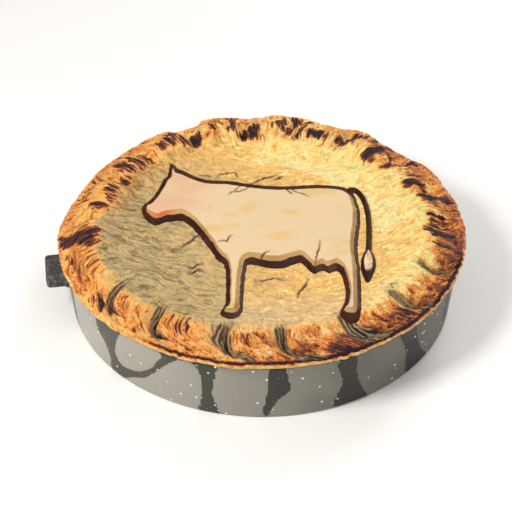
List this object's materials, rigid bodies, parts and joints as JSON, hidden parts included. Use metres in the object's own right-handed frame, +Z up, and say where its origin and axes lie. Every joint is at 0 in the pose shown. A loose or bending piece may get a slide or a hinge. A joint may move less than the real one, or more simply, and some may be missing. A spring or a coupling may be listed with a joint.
{
  "type": "beef pie",
  "caption": "Round shut-crust meat pie with a crimped rim and a cow-shaped pastry cut-out on its lid, baked in its own shallow speckled stoneware dish with one short lug handle.",
  "frame": {"origin": "centre of the dish's flat underside, on the surface that it stands on", "axes": "+Z up through the crust; -X towards the side with the lug handle; -Y towards the reader of the pastry cow, so that it stands upright with its head to -X"},
  "size_m": [0.279, 0.2694, 0.0616],
  "materials": {
    "stoneware": "satin grey glaze with darker streaks and fine white speckles",
    "lug": "matt dark grey, speckled",
    "crust": "baked pastry, golden with near-black scorched crests and a paler floury lid",
    "pale_pastry": "pale baked pastry with tan sides and a dark brown foot",
    "dark_pastry": "dark brown baked pastry with a pale tuft"
  },
  "bodies": {
    "root": {"dish": "stoneware", "handle": "lug", "pie": "crust", "cow": "pale_pastry", "tail": "dark_pastry"}
  },
  "joints": []
}
